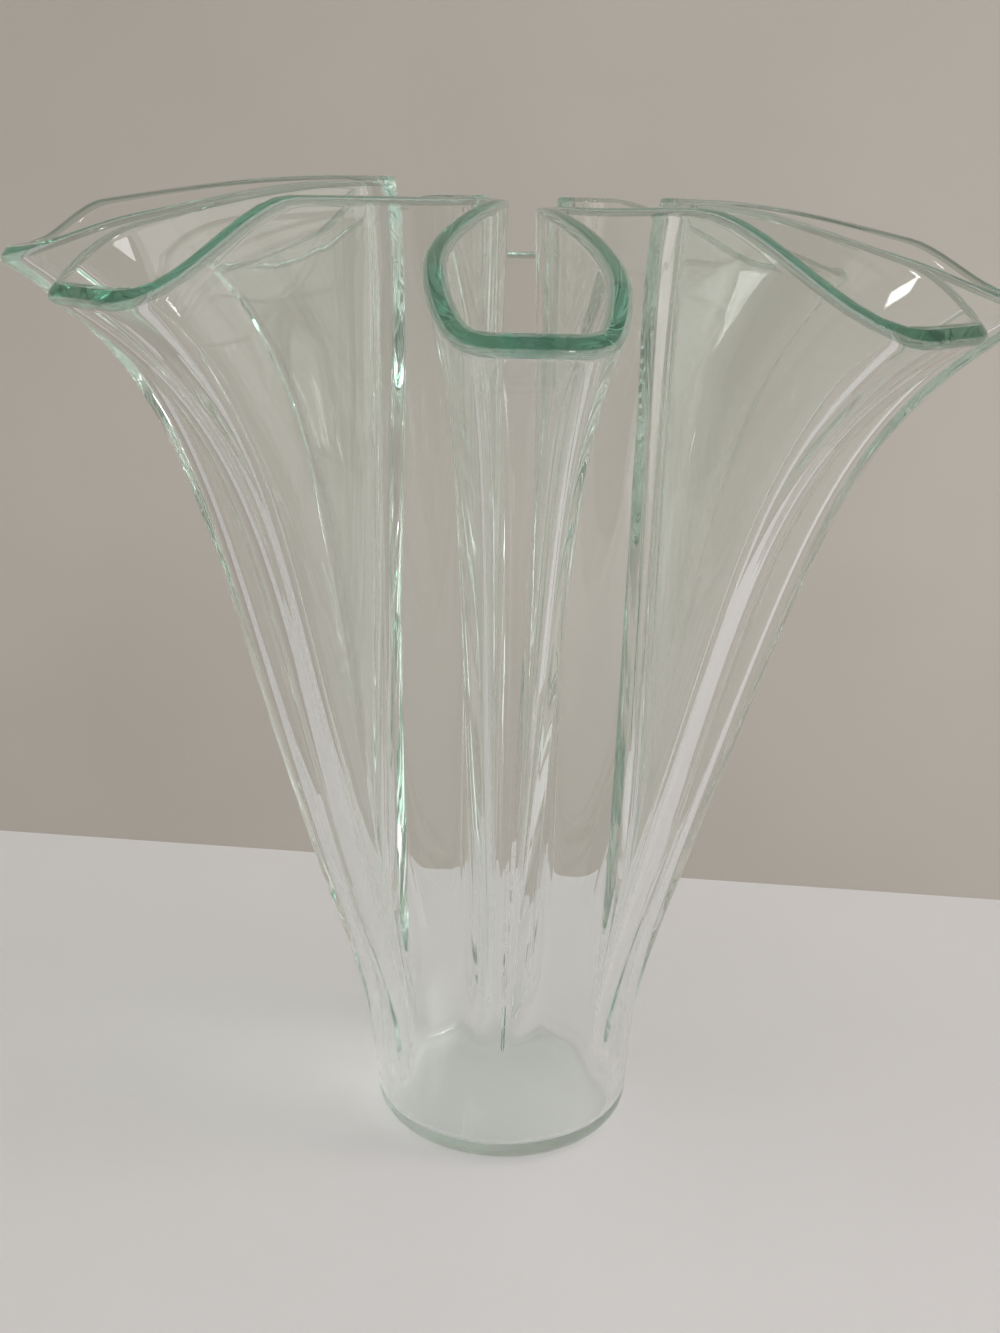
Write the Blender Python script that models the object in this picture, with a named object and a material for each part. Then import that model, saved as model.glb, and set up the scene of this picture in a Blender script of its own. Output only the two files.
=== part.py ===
# Handkerchief vase: one sheet of window glass, slumped over a round former into eight folds.
# Metres, +Z up. The origin is the centre of the foot, on the surface that the vase stands on.
# The front of the vase faces -Y.
from collections import namedtuple
from math import cos, pi, radians, sin

import bmesh
import bpy
import numpy as np

MM = 0.001

# Driving sizes. Lengths are in metres, and angles run anticlockwise from +X in degrees.
GLASS = 6 * MM  # thickness of the sheet
FOOT_DIAMETER = 90 * MM  # outside, where the bend ends and the wall begins
FOOT_BEND = 8 * MM  # outside radius of the bend between foot and wall
CORNER_ROUND = 4.3 * MM  # how far each side of a tip's corner its rounding begins
EDGE_SOFTENING = 1.5 * MM  # bevel that fire polishing leaves along the cut edge
EDGE_TURN = 60  # degrees between faces; only the cut edge turns more sharply
TIP_REACH = 153 * MM  # from the axis to the straight cut of a tip
TIP_WIDTH = 27 * MM  # length of that straight cut
TIP_HEIGHT = 288 * MM
BELLY_REACH = 112 * MM  # from the axis to the widest place of a lobe
BELLY_HALF_WIDTH = 24.5 * MM
BELLY_HEIGHT = 303 * MM
FOLD_REACH = 48.5 * MM  # from the axis to the fold between two lobes
FOLD_HEIGHT = 314 * MM
FOLD_ROUND = 6 * MM  # radius of that fold, at mid thickness
FOLD_ARC = 150  # how far round the sheet turns in a fold, in degrees
WALL_CORNER_ROUND = 12 * MM  # the corner's rounding in the wall, below the rim
WALL_FOLD_ROUND = 11 * MM  # the fold's radius there

# How the wall opens on its way up, all as shares of its height: upright at first, then as a
# cone from CONE_START, and with a flare near the rim.
CONE_START = 0.13
CONE_EASE = 0.08  # how gently the upright start turns into the cone
CONE_POWER = 0.83  # below 1, the cone is steeper higher up
SIDE_POWER = 0.09  # added to the power towards +X and taken from it towards -X
FLARE_POWER = 10
FLARE_SHARE = 0.35  # share of the reach that the flare adds

# Where the lines that rise to the necks, bellies, tip corners and the ends of the straight cut
# start on the foot, as shares of the way from a lobe's middle to the valley beside it.
NECK_ON_FOOT = 0.88
BELLY_ON_FOOT = 0.5
CORNER_ON_FOOT = 0.3
CUT_ON_FOOT = 0.05

RIM_POWER = 5  # the higher, the nearer to the rim the wall's roundings turn into the rim's

# Mesh density: pieces between neighbouring outline points, and rows up the wall.
FOLD_PIECES = 1
FOLD_SPANS = 4
SIDE_PIECES = 3
BELLY_PIECES = 3
CORNER_PIECES = 1
TIP_PIECES = 2
WALL_ROWS = 12
BEND_ROWS = 3
ROW_CROWDING_SHARE = 0.12  # how far rows move towards foot and rim, as a share of the height
FLAT_RING_SHARE = 0.8  # inner ring of the foot, as a share of its flat radius

GLASS_COLOUR = (0.80, 0.90, 0.86, 1)
GLASS_ROUGHNESS = 0.02
GLASS_IOR = 1.52

# The rim, lobe by lobe, as the sheet fell. Angles are in degrees, and all else is a share of
# the size named above, so that 1 is the usual lobe. before and after are a lobe's sides,
# clockwise and anticlockwise, each with the place where it is widest.
Lobe = namedtuple("Lobe", "turn reach wide high before after")
Side = namedtuple("Side", "out wide high")
Valley = namedtuple("Valley", "turn reach high")

LOBES = {
    "front": Lobe(271, 0.971, 1.03, 0.998, Side(0.99, 0.98, 0.998), Side(1.14, 0.78, 0.988)),
    "front_right": Lobe(312.5, 0.993, 1.03, 1, Side(0.78, 0.82, 1.037), Side(1.07, 1.2, 0.995)),
    "right": Lobe(358.5, 1.027, 1, 0.996, Side(0.98, 0.97, 0.994), Side(1.1, 1.12, 1.004)),
    "back_right": Lobe(43, 1.008, 1, 1, Side(0.91, 1.02, 0.984), Side(0.96, 0.98, 1.003)),
    "back": Lobe(90, 0.993, 1, 1.003, Side(0.96, 1.02, 0.997), Side(0.98, 0.98, 0.993)),
    "back_left": Lobe(135, 0.994, 1, 0.992, Side(0.96, 0.98, 1), Side(0.7, 0.88, 0.997)),
    "left": Lobe(180.5, 1.019, 1, 1.027, Side(1.2, 1.16, 1.024), Side(1, 0.98, 1.017)),
    "front_left": Lobe(228, 1.018, 1.07, 1.017, Side(1.08, 1.24, 1.013), Side(0.96, 0.82, 1.041)),
}
# In the same order: each valley follows the lobe in the same place above.
VALLEYS = (
    Valley(281, 1, 0.997),
    Valley(340, 1.045, 1.001),
    Valley(22, 1.035, 1.003),
    Valley(68, 0.99, 1),
    Valley(112, 0.99, 1),
    Valley(157, 0.985, 1.018),
    Valley(201, 1, 1.014),
    Valley(256.5, 1.01, 1.003),
)


def direction(turn):
    """Unit vector in plan at an angle in degrees."""
    return np.array([cos(radians(turn)), sin(radians(turn))])


def nearest_turn(turn, other):
    """The angle turn, plus or minus whole turns, that lies nearest to other."""
    return turn + 360 * round((other - turn) / 360)


def fold_points(valley, before, after, fold_round):
    """Outline points round the arc of a valley's fold, from the lobe before it to the lobe after it."""
    spread = nearest_turn(after.turn, before.turn) - before.turn
    outward = before.turn + spread / 2
    out, across = direction(outward), direction(outward + 90)
    centre = direction(valley.turn) * valley.reach * FOLD_REACH + out * fold_round
    points = []
    for share in np.linspace(-1, 1, FOLD_SPANS + 1):
        bend = radians(share * FOLD_ARC / 2)
        place = centre + fold_round * (across * sin(bend) - out * cos(bend))
        heading = across * cos(bend) + out * sin(bend)
        foot = outward + share * spread / 2 * (1 - NECK_ON_FOOT)
        points.append((place, heading, valley.high * FOLD_HEIGHT, foot))
    return points


def side_points(lobe, side, hand, half_spread, corner_round):
    """Outline points of one side of a lobe, hand -1 or 1: its widest place and its tip's corner."""
    out, across = direction(lobe.turn), direction(lobe.turn + 90) * hand
    tip_wide, tip_high = lobe.wide * TIP_WIDTH, lobe.high * TIP_HEIGHT
    belly_high = side.high * BELLY_HEIGHT
    corner = out * lobe.reach * TIP_REACH + across * tip_wide / 2
    belly = out * side.out * BELLY_REACH + across * side.wide * BELLY_HALF_WIDTH
    length = np.linalg.norm(corner - belly)
    # An arc that leaves the belly along the lobe reaches the corner on this heading.
    inward = 2 * (corner - belly) / length - out
    inward /= np.linalg.norm(inward)
    # The rim leaves the level cut at about half its mean slope.
    side_high = tip_high + (belly_high - tip_high) / length * corner_round / 2
    foot = hand * half_spread * CORNER_ON_FOOT
    cut_foot = hand * half_spread * CUT_ON_FOOT
    # A side is passed outwards where hand is -1, and inwards where it is 1.
    return [
        (belly, -hand * out, belly_high, lobe.turn + hand * half_spread * BELLY_ON_FOOT),
        (corner - inward * corner_round, -hand * inward, side_high, lobe.turn + foot),
        (corner - across * corner_round, direction(lobe.turn + 90), tip_high, lobe.turn + cut_foot),
    ]


def outline_points(corner_round, fold_round):
    """Rim points, anticlockwise (place, heading, height, turn on foot), and mesh pieces to the next."""
    lobes = list(LOBES.values())
    before_pieces = (BELLY_PIECES, CORNER_PIECES, TIP_PIECES)
    after_pieces = (CORNER_PIECES, BELLY_PIECES, SIDE_PIECES)
    fold_pieces = (FOLD_PIECES,) * FOLD_SPANS + (SIDE_PIECES,)
    points, pieces = [], []
    for i, lobe in enumerate(lobes):
        lobe_before, lobe_after = lobes[i - 1], lobes[(i + 1) % len(lobes)]
        half_before = (lobe.turn - nearest_turn(lobe_before.turn, lobe.turn)) / 2
        half_after = (nearest_turn(lobe_after.turn, lobe.turn) - lobe.turn) / 2
        points += side_points(lobe, lobe.before, -1, half_before, corner_round)
        points += reversed(side_points(lobe, lobe.after, 1, half_after, corner_round))
        points += fold_points(VALLEYS[i], lobe, lobe_after, fold_round)
        pieces += before_pieces + after_pieces + fold_pieces
    return points, pieces


def hermite(start, end, slope_start, slope_end, step, t):
    """Point at share t of a cubic span of a given length, from its ends and their slopes."""
    return (
        (2 * t**3 - 3 * t**2 + 1) * start
        + (t**3 - 2 * t**2 + t) * step * slope_start
        + (3 * t**2 - 2 * t**3) * end
        + (t**3 - t**2) * step * slope_end
    )


def level_slopes(values, after_last, steps):
    """Slopes at the points of a closed outline that let a value rise or fall, but never overshoot."""
    rise = (np.append(values[1:], after_last) - values) / steps
    rise_before = np.roll(rise, 1)
    turning = rise * rise_before <= 0
    both = np.where(turning, 1, rise + rise_before)
    return np.where(turning, 0, 2 * rise * rise_before / both)


def rim_columns(corner_round, fold_round):
    """For each column of the mesh: its x, y and height at the rim, and its angle on the foot."""
    points, pieces = outline_points(corner_round, fold_round)
    place = np.array([point[0] for point in points])
    heading = np.array([point[1] for point in points])
    high = np.array([point[2] for point in points])
    foot = np.unwrap([radians(point[3]) for point in points])
    steps = np.linalg.norm(np.roll(place, -1, axis=0) - place, axis=1)
    foot_end = foot[0] + 2 * pi
    high_slope = level_slopes(high, high[0], steps)
    foot_slope = level_slopes(foot, foot_end, steps)
    curve, highs, feet = [], [], []
    for i, count in enumerate(pieces):
        j = (i + 1) % len(points)
        next_foot = foot[j] if j else foot_end
        for t in np.arange(count) / count:
            curve.append(hermite(place[i], place[j], heading[i], heading[j], steps[i], t))
            highs.append(hermite(high[i], high[j], high_slope[i], high_slope[j], steps[i], t))
            feet.append(hermite(foot[i], next_foot, foot_slope[i], foot_slope[j], steps[i], t))
    return np.array([*np.transpose(curve), highs, feet])


def opening_share(up, side):
    """How much of its reach a column has opened to at a share of its height; side is 1 towards +X."""

    def ramp(share):
        return share - CONE_START + np.hypot(share - CONE_START, CONE_EASE)

    cone = (ramp(up) - ramp(0)) / (ramp(1) - ramp(0))
    power = CONE_POWER + SIDE_POWER * side
    return (1 - FLARE_SHARE) * cone**power + FLARE_SHARE * up**FLARE_POWER


def sheet_rows():
    """Rings of points at the middle of the glass, from the foot outwards and up to the rim."""
    rim = rim_columns(CORNER_ROUND, FOLD_ROUND)
    wall = rim_columns(WALL_CORNER_ROUND, WALL_FOLD_ROUND)
    foot_turn = wall[3]
    middle_bend = FOOT_BEND - GLASS / 2
    wall_radius = FOOT_DIAMETER / 2 - GLASS / 2
    flat_radius = wall_radius - middle_bend
    wall_start = GLASS / 2 + middle_bend
    rows = []

    def foot_ring(radius, high):
        x, y = radius * np.cos(foot_turn), radius * np.sin(foot_turn)
        rows.append(np.column_stack([x, y, np.full_like(x, high)]))

    foot_ring(flat_radius * FLAT_RING_SHARE, GLASS / 2)
    for k in range(BEND_ROWS):
        bend = pi / 2 * k / BEND_ROWS
        foot_ring(flat_radius + middle_bend * sin(bend), wall_start - middle_bend * cos(bend))
    for k in range(WALL_ROWS + 1):
        # Rows stand closer near the foot and near the rim, where the wall bends.
        up = k / WALL_ROWS - ROW_CROWDING_SHARE * sin(2 * pi * k / WALL_ROWS)
        x, y, high, turn = wall + (rim - wall) * up**RIM_POWER
        opened = opening_share(up, x / np.hypot(x, y))
        x = wall_radius * np.cos(turn) * (1 - opened) + x * opened
        y = wall_radius * np.sin(turn) * (1 - opened) + y * opened
        rows.append(np.column_stack([x, y, wall_start + (high - wall_start) * up]))
    return rows


def glass_material():
    material = bpy.data.materials.new("clear_green_glass")
    material.use_nodes = True
    shader = material.node_tree.nodes["Principled BSDF"]
    shader.inputs["Base Color"].default_value = GLASS_COLOUR
    shader.inputs["Roughness"].default_value = GLASS_ROUGHNESS
    shader.inputs["Metallic"].default_value = 0
    shader.inputs["Transmission Weight"].default_value = 1
    shader.inputs["IOR"].default_value = GLASS_IOR
    return material


def vase_body():
    """The draped sheet: rings joined into a skin, thickened, and its cut edge softened."""
    mesh = bpy.data.meshes.new("vase_body")
    body = bmesh.new()
    rings = [[body.verts.new(point) for point in row] for row in sheet_rows()]
    body.faces.new(reversed(rings[0]))
    for lower, upper in zip(rings, rings[1:]):
        for i in range(len(lower)):
            j = (i + 1) % len(lower)
            body.faces.new((lower[i], lower[j], upper[j], upper[i]))
    bmesh.ops.recalc_face_normals(body, faces=body.faces)
    body.to_mesh(mesh)
    body.free()
    mesh.shade_smooth()
    mesh.materials.append(glass_material())
    vase = bpy.data.objects.new("vase_body", mesh)
    bpy.context.scene.collection.objects.link(vase)
    sheet = vase.modifiers.new("sheet", "SOLIDIFY")
    sheet.thickness = GLASS
    sheet.offset = 0
    sheet.use_even_offset = True
    edge = vase.modifiers.new("cut_edge", "BEVEL")
    edge.width = EDGE_SOFTENING
    edge.segments = 1
    edge.use_clamp_overlap = False
    edge.limit_method = "ANGLE"
    edge.angle_limit = radians(EDGE_TURN)
    return vase


for old in list(bpy.data.objects):
    bpy.data.objects.remove(old, do_unlink=True)
vase_body()
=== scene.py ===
# Handkerchief vase of slumped window glass, on a pale table in front of a plain wall.
from functools import partial
from math import atan, cos, pi, radians, sin

import bmesh
import bpy
import numpy as np
from mathutils import Matrix, Vector


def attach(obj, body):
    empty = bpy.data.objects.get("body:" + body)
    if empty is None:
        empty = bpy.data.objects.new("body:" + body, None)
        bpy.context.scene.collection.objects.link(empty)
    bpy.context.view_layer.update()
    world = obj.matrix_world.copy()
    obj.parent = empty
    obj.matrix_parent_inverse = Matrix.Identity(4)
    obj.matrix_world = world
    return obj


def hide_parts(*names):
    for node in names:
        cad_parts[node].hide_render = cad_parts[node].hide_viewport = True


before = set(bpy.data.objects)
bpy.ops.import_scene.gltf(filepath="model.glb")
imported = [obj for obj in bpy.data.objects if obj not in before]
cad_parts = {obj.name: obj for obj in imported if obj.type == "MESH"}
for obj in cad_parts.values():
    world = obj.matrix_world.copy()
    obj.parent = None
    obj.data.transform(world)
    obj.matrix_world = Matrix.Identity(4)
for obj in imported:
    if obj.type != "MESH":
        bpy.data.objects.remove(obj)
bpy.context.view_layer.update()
print("frame loaded")
mm = 0.001


def linear(hexColour):
    # sRGB hex to the linear colour that a shader socket takes
    parts = [int(hexColour[i:i + 2], 16) / 255 for i in (1, 3, 5)]
    return tuple(c / 12.92 if c <= 0.04045 else ((c + 0.055) / 1.055) ** 2.4 for c in parts) + (1,)


def addNode(tree, kind, links=None, **settings):
    # links go by socket name or number, to a value or to another node's socket
    node = tree.nodes.new(kind)
    for name, value in settings.items():
        setattr(node, name, value)
    for key, value in (links or {}).items():
        socket = node.inputs[key]
        if isinstance(value, bpy.types.NodeSocket):
            tree.links.new(value, socket)
        else:
            socket.default_value = value
    return node


def placed(name, mesh):
    thing = bpy.data.objects.new(name, mesh)
    bpy.context.scene.collection.objects.link(thing)
    return thing


vase = {
    "glass": 6 * mm,
    "footDiameter": 90 * mm,  # where the bend ends and the wall begins
    "footBend": 8 * mm,  # outside radius of that bend
    "tipReach": 153 * mm,  # from the axis to the straight cut of a tip
    "tipWidth": 27 * mm,
    "tipHeight": 288 * mm,
    "bellyReach": 112 * mm,  # from the axis to the widest place of a lobe
    "bellyHalfWidth": 24.5 * mm,
    "bellyHeight": 303 * mm,
    "foldReach": 48.5 * mm,  # from the axis to the fold between two lobes
    "foldHeight": 314 * mm,
    "foldArc": {"rim": 150, "wall": 120},  # degrees that the sheet turns in a fold
    "foldRound": {"rim": 6 * mm, "wall": 11 * mm},  # radius of the fold
    "cornerRound": {"rim": 4.3 * mm, "wall": 12 * mm},  # how far from a tip's corner it begins
    "cutSoftening": 1.5 * mm,  # bevel that fire polishing leaves along the cut edge
    "cutSegments": 3,
    "coneStart": 0.13,  # share of the height where the upright wall starts to open
    "coneEase": 0.08,  # how gently the upright start turns into the cone
    "conePower": 0.83,  # below 1, the cone is steeper higher up
    "sidePower": 0.09,  # added to that power towards +X and taken from it towards -X
    "flarePower": 10.0,  # the higher, the nearer to the rim the flare stays
    "flareShare": 0.35,  # share of the reach that the flare adds
    "rimPower": 5.0,  # the higher, the nearer to the rim the wall's roundings turn into the rim's
    "lowPower": 0.8,  # the higher, the nearer to the foot the low outline stays
    "lowStretch": 16 * mm,  # the low outline is the wall's, averaged about this far to each side
    "footStretch": 75 * mm,  # the same, for the turns at which the wall leaves the foot
    "pieces": {"foldSpans": 6, "fold": 2, "side": 10, "belly": 9, "corner": 4, "tip": 6},
    "rows": {"flat": 4, "bend": 8, "wall": 64},
    "rowCrowding": 0.09,  # how far rows move towards foot and rim, as a share of the height
    "joinWithin": 0.01 * mm,  # points this near become one, at the seam and the foot's centre
}
# Each lobe as it fell, anticlockwise from the front. First its turn in degrees, then shares of the
# tip's reach, width and height, then for each side shares of the belly's reach, half width and
# height, and last the fold that follows: its turn, and shares of the fold's reach and height.
lobes = (
    (271, (0.971, 1.03, 0.998), (0.99, 0.98, 0.998), (1.14, 0.78, 0.988), (281, 1, 0.997)),
    (312.5, (0.993, 1.03, 1), (0.78, 0.82, 1.037), (1.07, 1.2, 0.995), (340, 1.045, 1.001)),
    (358.5, (1.027, 1, 0.996), (0.98, 0.97, 0.994), (1.1, 1.12, 1.004), (22, 1.035, 1.003)),
    (43, (1.008, 1, 1), (0.91, 1.02, 0.984), (0.96, 0.98, 1.003), (68, 0.99, 1)),
    (90, (0.993, 1, 1.003), (0.96, 1.02, 0.997), (0.98, 0.98, 0.993), (112, 0.99, 1)),
    (135, (0.994, 1, 0.992), (0.96, 0.98, 1), (0.7, 0.88, 0.997), (157, 0.985, 1.018)),
    (180.5, (1.019, 1, 1.027), (1.2, 1.16, 1.024), (1, 0.98, 1.017), (201, 1, 1.014)),
    (228, (1.018, 1.07, 1.017), (1.08, 1.24, 1.013), (0.96, 0.82, 1.041), (256.5, 1.01, 1.003)),
)


def direction(turn):
    return np.array([cos(radians(turn)), sin(radians(turn))])


def nearestTurn(turn, other):
    return turn + 360 * round((other - turn) / 360)


def foldPoints(fold, before, after, where):
    # points round the arc of a fold, between the lobes before and after it: place, heading, height
    turn, reach, high = fold
    spread = nearestTurn(after, before) - before
    outward = before + spread / 2
    out, across = direction(outward), direction(outward + 90)
    radius = vase["foldRound"][where]
    centre = direction(turn) * reach * vase["foldReach"] + out * radius
    points = []
    for share in np.linspace(-1, 1, vase["pieces"]["foldSpans"] + 1):
        bend = radians(share * vase["foldArc"][where] / 2)
        place = centre + radius * (across * sin(bend) - out * cos(bend))
        heading = across * cos(bend) + out * sin(bend)
        points.append((place, heading, high * vase["foldHeight"]))
    return points


def sidePoints(turn, tip, side, hand, where):
    # one side of a lobe, hand -1 or 1: its widest place, and the rounded corner of its tip
    out, across = direction(turn), direction(turn + 90) * hand
    tipWide, tipHigh = tip[1] * vase["tipWidth"], tip[2] * vase["tipHeight"]
    bellyHigh = side[2] * vase["bellyHeight"]
    corner = out * tip[0] * vase["tipReach"] + across * tipWide / 2
    belly = out * side[0] * vase["bellyReach"] + across * side[1] * vase["bellyHalfWidth"]
    length = np.linalg.norm(corner - belly)
    # the side is an arc that leaves the belly along the lobe; this is its heading at the corner
    inward = 2 * (corner - belly) / length - out
    inward /= np.linalg.norm(inward)
    rounding = vase["cornerRound"][where]
    # halved, so that the rim leaves the level cut gently
    sideHigh = tipHigh + (bellyHigh - tipHigh) / length * rounding / 2
    return [
        (belly, -hand * out, bellyHigh),
        (corner - inward * rounding, -hand * inward, sideHigh),
        (corner - across * rounding, direction(turn + 90), tipHigh),
    ]


def outlinePoints(where):
    # the outline's points, and into how many pieces the way from each to the next is cut
    steps = vase["pieces"]
    points, pieces = [], []
    for i, (turn, tip, before, after, fold) in enumerate(lobes):
        turnAfter = lobes[(i + 1) % len(lobes)][0]
        points += sidePoints(turn, tip, before, -1, where)
        points += reversed(sidePoints(turn, tip, after, 1, where))
        points += foldPoints(fold, turn, turnAfter, where)
        pieces += [steps[k] for k in ("belly", "corner", "tip", "corner", "belly", "side")]
        pieces += [steps["fold"]] * steps["foldSpans"] + [steps["side"]]
    return points, pieces


def hermite(start, end, slopeStart, slopeEnd, step, t):
    return ((2 * t**3 - 3 * t**2 + 1) * start + (t**3 - 2 * t**2 + t) * step * slopeStart
            + (3 * t**2 - 2 * t**3) * end + (t**3 - t**2) * step * slopeEnd)


def levelSlopes(values, steps):
    # slopes that let a value rise or fall along the rim, but never overshoot
    rise = (np.roll(values, -1) - values) / steps
    riseBefore = np.roll(rise, 1)
    turning = rise * riseBefore <= 0
    both = np.where(turning, 1, rise + riseBefore)
    return np.where(turning, 0, 2 * rise * riseBefore / both)


def outlineCurve(where):
    # points of the closed outline, with their heights on the rim
    points, pieces = outlinePoints(where)
    place, heading, high = (np.array(column) for column in zip(*points))
    steps = np.linalg.norm(np.roll(place, -1, axis=0) - place, axis=1)
    slopes = levelSlopes(high, steps)
    curve = []
    for i, count in enumerate(pieces):
        j = (i + 1) % len(points)
        for t in np.arange(count) / count:
            flat = hermite(place[i], place[j], heading[i], heading[j], steps[i], t)
            curve.append((*flat, hermite(high[i], high[j], slopes[i], slopes[j], steps[i], t)))
    return np.array(curve)


def lengthsAhead(curve):
    # from each point of the closed outline to the next, seen from above
    return np.linalg.norm(np.roll(curve, -1, axis=0)[:, :2] - curve[:, :2], axis=1)


def evened(values, curve, stretch):
    # the mean of each value over a stretch of the outline around it
    ahead = lengthsAhead(curve)
    along, length = np.cumsum(ahead) - ahead, ahead.sum()
    apart = (along[:, None] - along + length / 2) % length - length / 2
    weights = np.exp(-(apart / stretch) ** 2 / 2) * (ahead + np.roll(ahead, 1))
    return weights @ values / weights.sum(axis=1, keepdims=values.ndim > 1)


def footTurns(curve):
    # each column starts on the foot below the middle of a stretch of wall around it
    places = np.unwrap(np.arctan2(curve[:, 1], curve[:, 0]))
    ahead = lengthsAhead(curve)
    steady = 2 * pi * (np.cumsum(ahead) - ahead) / ahead.sum()
    return steady + evened(places - steady, curve, vase["footStretch"])


def drapeTree():
    # a grid of columns and rows, drawn up from the foot's circle through the low outline and the
    # wall's to the rim's
    tree = bpy.data.node_groups.new("drape a sheet from its foot to its rim", "GeometryNodeTree")
    inputs = {
        "NodeSocketGeometry": ("Rim",),
        "NodeSocketFloat": (
            "Glass", "Foot diameter", "Foot bend", "Cone start", "Cone ease", "Cone power",
            "Side power", "Flare power", "Flare share", "Rim power", "Low power", "Row crowding",
        ),
        "NodeSocketInt": ("Flat rows", "Bend rows", "Wall rows"),
        "NodeSocketMaterial": ("Material",),
    }
    for kind, names in inputs.items():
        for name in names:
            tree.interface.new_socket(name, in_out="INPUT", socket_type=kind)
    tree.interface.new_socket("Sheet", in_out="OUTPUT", socket_type="NodeSocketGeometry")
    given = addNode(tree, "NodeGroupInput").outputs

    def calc(operation, *values):
        links = dict(enumerate(values))
        return addNode(tree, "ShaderNodeMath", links, operation=operation).outputs[0]

    plus, minus, times, over = (
        partial(calc, operation) for operation in ("ADD", "SUBTRACT", "MULTIPLY", "DIVIDE"))
    power, timesPlus, sine, cosine = (
        partial(calc, operation) for operation in ("POWER", "MULTIPLY_ADD", "SINE", "COSINE"))

    def between(low, high, share):
        return timesPlus(minus(high, low), share, low)

    def split(vector):
        return addNode(tree, "ShaderNodeSeparateXYZ", {0: vector}).outputs

    def choose(low, high, switch):
        links = {"Switch": switch, "False": low, "True": high}
        return addNode(tree, "GeometryNodeSwitch", links, input_type="FLOAT").outputs[0]

    def atLeast(value, limit):
        settings = {"data_type": "FLOAT", "operation": "GREATER_EQUAL"}
        return addNode(tree, "FunctionNodeCompare", {0: value, 1: limit}, **settings).outputs[0]

    def ramp(share):
        # nearly level up to the cone's start, and straight after it
        past = minus(share, given["Cone start"])
        squares = timesPlus(past, past, times(given["Cone ease"], given["Cone ease"]))
        return plus(past, calc("SQRT", squares))

    rimSize = addNode(tree, "GeometryNodeAttributeDomainSize", {"Geometry": given["Rim"]})
    columns = rimSize.outputs["Point Count"]
    footRows = plus(given["Flat rows"], given["Bend rows"])
    lastRow = plus(footRows, given["Wall rows"])
    grid = addNode(tree, "GeometryNodeMeshGrid", {
        "Size X": 1.0, "Size Y": 1.0,
        "Vertices X": plus(columns, 1), "Vertices Y": plus(lastRow, 1),
    })
    here = addNode(tree, "GeometryNodeInputPosition").outputs[0]
    onGrid = split(here)
    column = calc("MODULO", calc("ROUND", times(plus(onGrid[0], 0.5), columns)), columns)
    row = calc("ROUND", times(plus(onGrid[1], 0.5), lastRow))

    def onRim(field, kind):
        # a value of the rim's points, read at this grid point's column
        links = {"Geometry": given["Rim"], "Value": field, "Index": column}
        return addNode(tree, "GeometryNodeSampleIndex", links, data_type=kind).outputs["Value"]

    def storedOnRim(name, kind):
        stored = addNode(tree, "GeometryNodeInputNamedAttribute", {"Name": name}, data_type=kind)
        return onRim(stored.outputs["Attribute"], kind)

    # where the sheet would be if it had opened fully: the three outlines, mixed by height
    climbed = calc("MAXIMUM", over(minus(row, footRows), given["Wall rows"]), 0.0)
    up = minus(climbed, times(given["Row crowding"], sine(times(climbed, 2 * pi))))
    nearRim = power(up, given["Rim power"])
    nearFoot = power(minus(1.0, up), given["Low power"])
    rim = split(onRim(here, "FLOAT_VECTOR"))
    wall = split(storedOnRim("wallPlace", "FLOAT_VECTOR"))
    low = split(storedOnRim("lowPlace", "FLOAT_VECTOR"))
    fullX, fullY, fullZ = (
        between(between(wall[k], low[k], nearFoot), rim[k], nearRim) for k in range(3))
    turn = storedOnRim("footTurn", "FLOAT")

    # the foot, at mid thickness: a flat disc, then a quarter bend
    halfGlass = times(given["Glass"], 0.5)
    bend = minus(given["Foot bend"], halfGlass)
    wallRadius = minus(times(given["Foot diameter"], 0.5), halfGlass)
    wallStart = given["Foot bend"]
    flatRadius = minus(wallRadius, bend)
    flatR = times(flatRadius, over(row, given["Flat rows"]))
    bent = times(over(minus(row, given["Flat rows"]), given["Bend rows"]), pi / 2)
    bendR = timesPlus(bend, sine(bent), flatRadius)
    bendZ = minus(wallStart, times(bend, cosine(bent)))

    # the wall: upright at first, then a cone, and a flare near the rim
    fullReach = calc("SQRT", timesPlus(fullX, fullX, times(fullY, fullY)))
    conePower = timesPlus(given["Side power"], over(fullX, fullReach), given["Cone power"])
    rampStart = ramp(0.0)
    climb = over(minus(ramp(up), rampStart), minus(ramp(1.0), rampStart))
    cone = power(calc("MAXIMUM", climb, 0.0), conePower)
    coned = times(minus(1.0, given["Flare share"]), cone)
    opened = timesPlus(given["Flare share"], power(up, given["Flare power"]), coned)
    wallX = between(times(wallRadius, cosine(turn)), fullX, opened)
    wallY = between(times(wallRadius, sine(turn)), fullY, opened)
    wallZ = between(wallStart, fullZ, up)

    pastFlat, pastBend = atLeast(row, given["Flat rows"]), atLeast(row, footRows)
    footR, footZ = choose(flatR, bendR, pastFlat), choose(halfGlass, bendZ, pastFlat)
    place = addNode(tree, "ShaderNodeCombineXYZ", {
        0: choose(times(footR, cosine(turn)), wallX, pastBend),
        1: choose(times(footR, sine(turn)), wallY, pastBend),
        2: choose(footZ, wallZ, pastBend),
    })
    made = grid.outputs["Mesh"]
    for kind, links in (
        ("GeometryNodeSetPosition", {"Position": place.outputs[0]}),
        ("GeometryNodeMergeByDistance", {"Distance": vase["joinWithin"]}),
        ("GeometryNodeRealizeInstances", {}),
        ("GeometryNodeSetMaterial", {"Material": given["Material"]}),
    ):
        made = addNode(tree, kind, {"Geometry": made, **links}).outputs[0]
    addNode(tree, "NodeGroupOutput", {"Sheet": made})
    return tree


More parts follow.
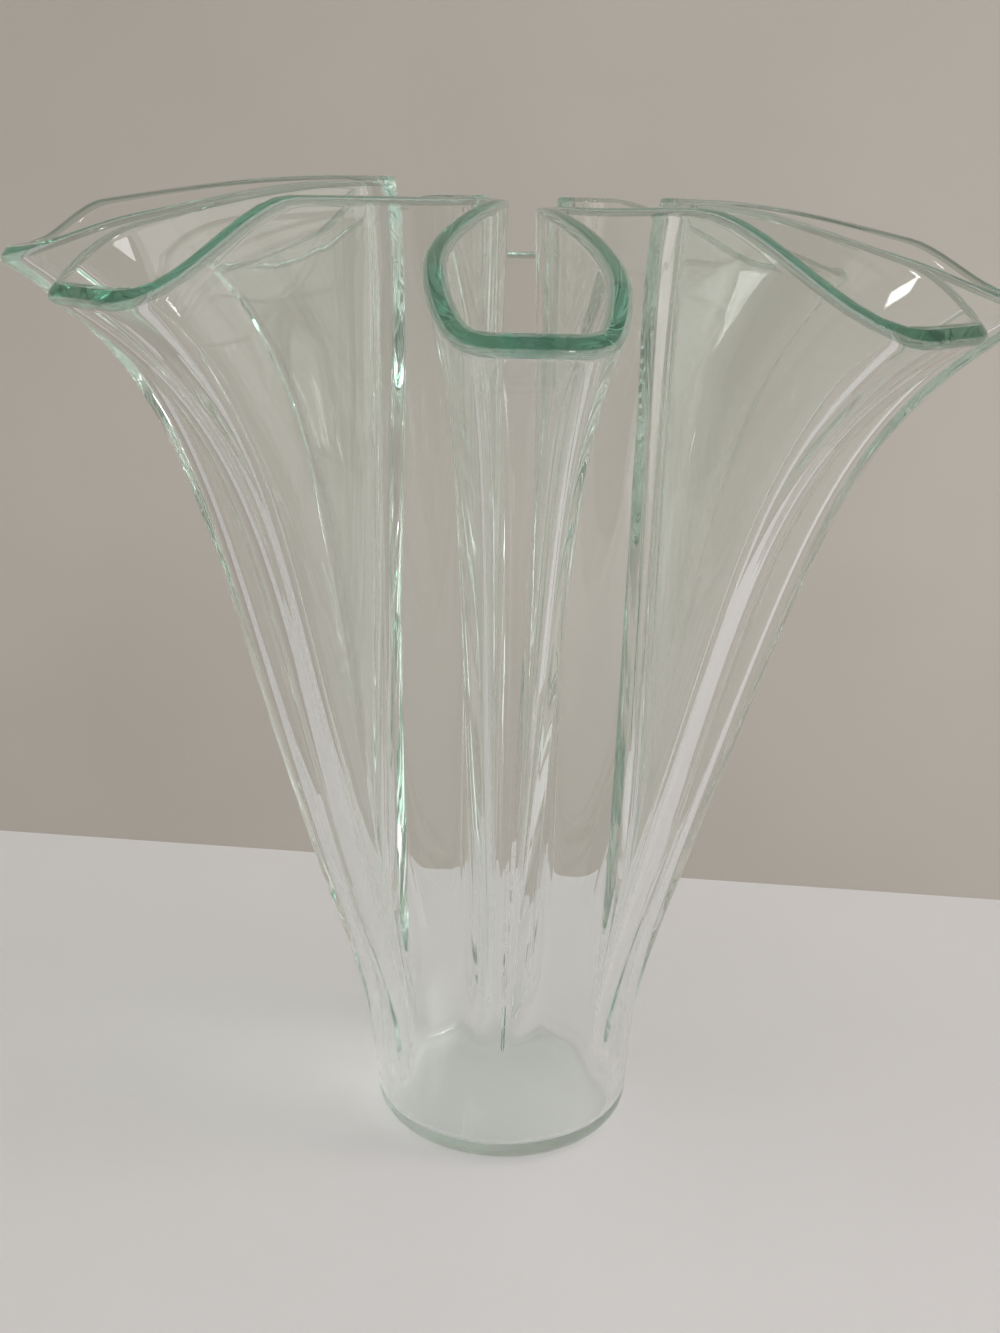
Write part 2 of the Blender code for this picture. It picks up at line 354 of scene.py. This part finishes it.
glassLook = {
    "tint": "#fdfefd",
    "cutTint": "#437f66",
    "softenedTint": 0.55,  # share of the cut's tint that its softened corners show
    "ior": 1.52,
    "shadow": ("#ffffff", "#b4c0ba"),  # let through to the table, met squarely and edge-on
    "shadowBlend": 0.2,  # how much of a wall counts as edge-on
    "absorbed": "#00dba8",  # light lost inside the glass: most of it red, least of it green
    "absorbDensity": 0.8,
    "runs": 0.12,  # film and ripples run down the wall: the lower, the longer they are
    "filmWide": 6 * mm,
    "filmFrom": 0.58,  # where the film starts, in the noise's own values
    "filmTo": 0.8,
    "filmDetail": 4.0,
    "filmRough": 0.05,
    "undersideRough": 0.25,
    "undersideHigh": 0.4 * mm,  # up to here a face counts as the underside
    "rippleWide": 45 * mm,
    "rippleDeep": 0.15 * mm,
    "rippleDetail": 1.0,
}


def slumpedGlass():
    # Soda-lime float glass, slumped over a former and fire polished: clear on its faces, with slow
    # ripples that bend what is behind it, and green where light leaves along the sheet.
    look = glassLook
    material = bpy.data.materials.new("slumped float glass, fire polished")
    material.use_nodes = True
    tree = material.node_tree
    shader, output = tree.nodes["Principled BSDF"], tree.nodes["Material Output"]
    for name, value in (("Metallic", 0), ("IOR", look["ior"]), ("Transmission Weight", 1)):
        shader.inputs[name].default_value = value
    where = addNode(tree, "ShaderNodeTexCoord").outputs["Object"]
    cut = addNode(tree, "ShaderNodeAttribute", attribute_name="cutEdge").outputs["Fac"]
    tints = {0: cut, 6: linear(look["tint"]), 7: linear(look["cutTint"])}
    tint = addNode(tree, "ShaderNodeMix", tints, data_type="RGBA").outputs[2]
    tree.links.new(tint, shader.inputs["Base Color"])
    # dried water leaves a faint film that runs down the wall
    runs = addNode(tree, "ShaderNodeMapping", {"Vector": where, "Scale": (1, 1, look["runs"])})
    film = addNode(tree, "ShaderNodeTexNoise", {
        "Vector": runs.outputs[0], "Scale": 1 / look["filmWide"], "Detail": look["filmDetail"],
    })
    dull = addNode(tree, "ShaderNodeMapRange", {
        "Value": film.outputs[0], "From Min": look["filmFrom"], "From Max": look["filmTo"],
        "To Min": 0.0, "To Max": look["filmRough"],
    })
    # the underside took the grain of the kiln shelf, so it scatters the table's light into the foot
    height = addNode(tree, "ShaderNodeSeparateXYZ", {0: where}).outputs[2]
    grain = addNode(tree, "ShaderNodeMapRange", {
        "Value": height, "From Min": look["undersideHigh"], "From Max": 2 * look["undersideHigh"],
        "To Min": look["undersideRough"], "To Max": 0.0,
    })
    roughest = {0: dull.outputs[0], 1: grain.outputs[0]}
    rough = addNode(tree, "ShaderNodeMath", roughest, operation="MAXIMUM").outputs[0]
    tree.links.new(rough, shader.inputs["Roughness"])
    # slow ripples that a sheet takes as it hangs hot
    ripple = addNode(tree, "ShaderNodeTexNoise", {
        "Vector": runs.outputs[0], "Scale": 1 / look["rippleWide"], "Detail": look["rippleDetail"],
    })
    bump = addNode(tree, "ShaderNodeBump", {
        "Height": ripple.outputs[0], "Strength": 1.0, "Distance": look["rippleDeep"],
    })
    tree.links.new(bump.outputs[0], shader.inputs["Normal"])
    # the lamps shine through clear glass, so only its steep walls cast a faint shadow
    steep = addNode(tree, "ShaderNodeLayerWeight", {"Blend": look["shadowBlend"]}).outputs["Facing"]
    square, edgeOn = (linear(colour) for colour in look["shadow"])
    shade = addNode(tree, "ShaderNodeMix", {0: steep, 6: square, 7: edgeOn}, data_type="RGBA")
    clear = addNode(tree, "ShaderNodeBsdfTransparent", {"Color": shade.outputs[2]}).outputs[0]
    shadowRay = addNode(tree, "ShaderNodeLightPath").outputs["Is Shadow Ray"]
    lit = addNode(tree, "ShaderNodeMixShader", {0: shadowRay, 1: shader.outputs[0], 2: clear})
    tree.links.new(lit.outputs[0], output.inputs["Surface"])
    # over a long way along the sheet, what light is left turns green
    absorb = addNode(tree, "ShaderNodeVolumeAbsorption", {
        "Color": linear(look["absorbed"]), "Density": look["absorbDensity"],
    })
    tree.links.new(absorb.outputs[0], output.inputs["Volume"])
    return material


def plainMesh(thing, name):
    # what the modifiers make of an object, as a mesh of its own; the object is used up
    graph = bpy.context.evaluated_depsgraph_get()
    made = bpy.data.meshes.new_from_object(thing.evaluated_get(graph))
    bpy.data.objects.remove(thing, do_unlink=True)
    made.name = name
    return made


def modified(mesh, name, kind, **settings):
    # what one modifier makes of a mesh
    thing = placed(name, mesh)
    modifier = thing.modifiers.new(name, kind)
    for key, value in settings.items():
        setattr(modifier, key, value)
    return plainMesh(thing, name)


def store(mesh, name, kind, domain, values):
    field = "vector" if kind == "FLOAT_VECTOR" else "value"
    mesh.attributes.new(name, kind, domain).data.foreach_set(field, values)


def drapedSheet(glass):
    rimCurve, wallCurve = outlineCurve("rim"), outlineCurve("wall")
    lowCurve = evened(wallCurve, wallCurve, vase["lowStretch"])
    rimMesh = bpy.data.meshes.new("rim of the sheet")
    rimMesh.from_pydata([tuple(point) for point in rimCurve], [], [])
    store(rimMesh, "footTurn", "FLOAT", "POINT", footTurns(wallCurve))
    store(rimMesh, "wallPlace", "FLOAT_VECTOR", "POINT", wallCurve.ravel())
    store(rimMesh, "lowPlace", "FLOAT_VECTOR", "POINT", lowCurve.ravel())
    rim = placed("rim of the sheet", rimMesh)
    drape = rim.modifiers.new("drape", "NODES")
    drape.node_group = drapeTree()
    values = {
        "Glass": vase["glass"], "Foot diameter": vase["footDiameter"],
        "Foot bend": vase["footBend"], "Cone start": vase["coneStart"],
        "Cone ease": vase["coneEase"], "Cone power": vase["conePower"],
        "Side power": vase["sidePower"], "Flare power": vase["flarePower"],
        "Flare share": vase["flareShare"], "Rim power": vase["rimPower"],
        "Low power": vase["lowPower"], "Row crowding": vase["rowCrowding"],
        "Flat rows": vase["rows"]["flat"], "Bend rows": vase["rows"]["bend"],
        "Wall rows": vase["rows"]["wall"], "Material": glass,
    }
    for socket in drape.node_group.interface.items_tree:
        if socket.name in values:
            drape[socket.identifier] = values[socket.name]
    sheet = plainMesh(rim, "draped sheet")
    print("draped sheet:", len(rimCurve), "columns,", len(sheet.vertices), "points")
    return sheet


def markCut(mesh):
    # the two edges all along the cut, where its slot meets the faces' slot, get the bevel's weight
    work = bmesh.new()
    work.from_mesh(mesh)
    weight = work.edges.layers.float.new("bevel_weight_edge")
    for edge in work.edges:
        if len({face.material_index for face in edge.link_faces}) == 2:
            edge[weight] = 1
    work.to_mesh(mesh)
    work.free()


def makeVase():
    glass = slumpedGlass()
    sheet = drapedSheet(glass)
    # for a while, material slots tell the faces, the cut and its softened corners apart
    faceSlot, cutSlot, softSlot = range(3)
    sheet.materials.clear()
    for slot in (faceSlot, cutSlot, softSlot):
        sheet.materials.append(glass)
    faces = np.full(len(sheet.polygons), faceSlot, dtype=np.int32)
    sheet.polygons.foreach_set("material_index", faces)
    thick = modified(
        sheet, "thick sheet", "SOLIDIFY",
        thickness=vase["glass"], offset=0, use_even_offset=True, material_offset_rim=cutSlot)
    markCut(thick)
    body = modified(
        thick, "draped_glass", "BEVEL",
        width=vase["cutSoftening"], segments=vase["cutSegments"], use_clamp_overlap=False,
        limit_method="WEIGHT", material=softSlot)
    slots = np.zeros(len(body.polygons), dtype=np.int32)
    body.polygons.foreach_get("material_index", slots)
    tints = np.array([0, 1, glassLook["softenedTint"]])  # by slot
    store(body, "cutEdge", "FLOAT", "FACE", tints[slots])
    body.polygons.foreach_set("material_index", np.zeros_like(slots))
    body.materials.clear()
    body.materials.append(glass)
    body.shade_smooth()
    onCut = int((slots != faceSlot).sum())
    print("draped glass:", len(body.polygons), "faces,", onCut, "on the cut edge")
    return placed("draped_glass", body)


vasePiece = makeVase()
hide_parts("vase_body")
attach(vasePiece, "root")

# Lengths of the room are in metres.
room = {
    "table": "#c9c6c6",
    "tableRough": 0.8,
    "tableEdge": ((-0.254, 0.215), (0.234, 0.164)),  # two points of the table's back edge
    "tableFront": -1.2,
    "below": 0.1 * mm,  # the foot stands on its own rim, a hair above the table
    "wall": "#a8a29b",
    "wallRough": 0.9,
    "wallBehind": 0.7,  # from the table's back edge to the wall
    "wallLow": -1.2,
    "wallHigh": 2,
    "reach": 1.5,  # how far table and wall run to each side
    "cloudScale": 3.0,  # clouds of uneven shade to the metre
    "cloudDetail": 3.0,
    "cloudRange": (0.3, 0.7),  # of the noise
    "cloudShade": (0.96, 1.03),  # what a surface's colour is multiplied by
    "specular": 0.2,
    "air": "#dcdad6",  # light of the room from all round
    "airStrength": 1.1,
    "mirrored": "#9a938b",  # walls that the glass mirrors
    "seen": "#b9b2aa",  # walls past the modelled one, as the camera sees them
    "lampsAim": (0, 0.1, 0.15),
}
# name, place, size, power in watts, and whether the glass mirrors it
lamps = (
    ("window, right", (1.7, -0.7, 0.3), (1.6, 1.6), 9, True),
    ("bounce, right", (1.7, -0.7, 0.3), (1.6, 1.6), 11, False),
    ("bounce, left", (-1.6, -0.9, 1.3), (0.9, 1.3), 1, False),
    ("window behind the camera", (0.25, -1.9, 1.3), (0.14, 0.24), 2, True),
    ("ceiling", (1.3, -0.3, 1.3), (0.7, 0.7), 11, False),
)


def mattSurface(name, colour, roughness):
    # plain and matt, with soft clouds of uneven shade so that it doesn't look flat
    material = bpy.data.materials.new(name)
    material.use_nodes = True
    tree = material.node_tree
    shader = tree.nodes["Principled BSDF"]
    where = addNode(tree, "ShaderNodeTexCoord").outputs["Object"]
    cloud = addNode(tree, "ShaderNodeTexNoise", {
        "Vector": where, "Scale": room["cloudScale"], "Detail": room["cloudDetail"],
    })
    shade = addNode(tree, "ShaderNodeMapRange", {
        "Value": cloud.outputs[0], "From Min": room["cloudRange"][0],
        "From Max": room["cloudRange"][1], "To Min": room["cloudShade"][0],
        "To Max": room["cloudShade"][1],
    })
    shaded = {0: linear(colour)[:3], 1: shade.outputs[0]}
    tint = addNode(tree, "ShaderNodeVectorMath", shaded, operation="MULTIPLY").outputs[0]
    tree.links.new(tint, shader.inputs["Base Color"])
    shader.inputs["Roughness"].default_value = roughness
    shader.inputs["Specular IOR Level"].default_value = room["specular"]
    return material


def stagePiece(name, corners, material):
    mesh = bpy.data.meshes.new(name)
    mesh.from_pydata(corners, [], [tuple(range(len(corners)))])
    mesh.materials.append(material)
    placed(name, mesh)


def makeTableAndWall():
    edgeLeft, edgeRight = (Vector(point) for point in room["tableEdge"])
    along = (edgeRight - edgeLeft).normalized()
    backLeft, backRight = edgeLeft - along * room["reach"], edgeRight + along * room["reach"]
    frontLeft, frontRight = (backLeft.x, room["tableFront"]), (backRight.x, room["tableFront"])
    tableCorners = [
        (*corner, -room["below"]) for corner in (frontLeft, frontRight, backRight, backLeft)]
    stagePiece("table", tableCorners,
               mattSurface("matt table covering", room["table"], room["tableRough"]))
    # the wall runs a metre further to each side than the table
    behind = Vector((-along.y, along.x)) * room["wallBehind"]
    wallLeft, wallRight = backLeft + behind - along, backRight + behind + along
    low, high = room["wallLow"], room["wallHigh"]
    wallCorners = [(*wallLeft, low), (*wallRight, low), (*wallRight, high), (*wallLeft, high)]
    stagePiece("wall", wallCorners,
               mattSurface("matt wall paint", room["wall"], room["wallRough"]))


def hangLamp(name, place, size, power, mirrored):
    light = bpy.data.lights.new(name, "AREA")
    light.shape = "RECTANGLE"
    light.size, light.size_y = size
    light.energy = power
    lamp = placed(name, light)
    lamp.visible_glossy = mirrored
    lamp.location = place
    aim = Vector(room["lampsAim"]) - Vector(place)
    lamp.rotation_euler = aim.to_track_quat("-Z", "Y").to_euler()


def makeAir():
    # the room lights the table from all round, also through the glass, and the glass mirrors it
    # as walls of a darker colour
    world = bpy.data.worlds.new("room")
    world.use_nodes = True
    tree = world.node_tree
    rays = addNode(tree, "ShaderNodeLightPath").outputs
    fromCamera, glossy = rays["Is Camera Ray"], rays["Is Glossy Ray"]
    light = addNode(tree, "ShaderNodeBackground", {
        "Color": linear(room["air"]), "Strength": room["airStrength"],
    })
    colours = {0: fromCamera, 6: linear(room["mirrored"]), 7: linear(room["seen"])}
    walls = addNode(tree, "ShaderNodeMix", colours, data_type="RGBA").outputs[2]
    wallsLit = addNode(tree, "ShaderNodeBackground", {"Color": walls, "Strength": 1.0})
    direct = addNode(tree, "ShaderNodeMath", {0: fromCamera, 1: glossy}, operation="MAXIMUM")
    beforeTable = addNode(
        tree, "ShaderNodeMath", {0: 1.0, 1: rays["Diffuse Depth"]},
        operation="SUBTRACT", use_clamp=True)
    seen = addNode(
        tree, "ShaderNodeMath", {0: direct.outputs[0], 1: beforeTable.outputs[0]},
        operation="MULTIPLY")
    either = addNode(tree, "ShaderNodeMixShader", {
        0: seen.outputs[0], 1: light.outputs[0], 2: wallsLit.outputs[0],
    })
    tree.links.new(either.outputs[0], tree.nodes["World Output"].inputs["Surface"])
    bpy.context.scene.world = world


makeTableAndWall()
for lampValues in lamps:
    hangLamp(*lampValues)
makeAir()
print("room:", len(lamps), "lamps")

photo = {
    "size": (1000, 1333),
    "focal": 1510,  # in pixels of the photo
    "footPixel": (501, 1090),
    "footWide": 244,  # the foot, in pixels
    "elevation": 34.03,  # of the line of sight to the foot
    "roll": 1.35,
    "sensorHigh": 36,
    "clipStart": 0.01,
}


def placeCamera():
    # where the photo's camera stood, worked out from the foot's place and width in the photo
    wide, tall = photo["size"]
    footX, footY = photo["footPixel"]
    focal = photo["focal"]
    pitch = radians(photo["elevation"]) - atan((footY - tall / 2) / focal)
    tilted = Matrix.Rotation(pi / 2 - pitch, 4, "X")
    turned = tilted @ Matrix.Rotation(radians(photo["roll"]), 4, "Z")
    depth = focal * vase["footDiameter"] / photo["footWide"]
    toFoot = Vector(((footX - wide / 2) / focal, (tall / 2 - footY) / focal, -1)) * depth
    lens = bpy.data.cameras.new("camera")
    lens.sensor_fit = "VERTICAL"
    lens.sensor_height = photo["sensorHigh"]
    lens.lens = focal / tall * photo["sensorHigh"]
    lens.clip_start = photo["clipStart"]
    camera = placed("camera", lens)
    camera.matrix_world = Matrix.Translation(-(turned @ toFoot)) @ turned
    return camera


scene = bpy.context.scene
scene.camera = placeCamera()
scene.view_settings.view_transform = "Standard"
# light that runs along the sheet is turned back dozens of times before it leaves at the cut edge
sheetBounces = 80
clearBounces = 32  # for shadow rays, which pass the glass straight on
scene.cycles.max_bounces = sheetBounces
scene.cycles.transmission_bounces = sheetBounces
scene.cycles.glossy_bounces = sheetBounces
scene.cycles.transparent_max_bounces = clearBounces
print("camera at", [round(v, 4) for v in scene.camera.matrix_world.translation])
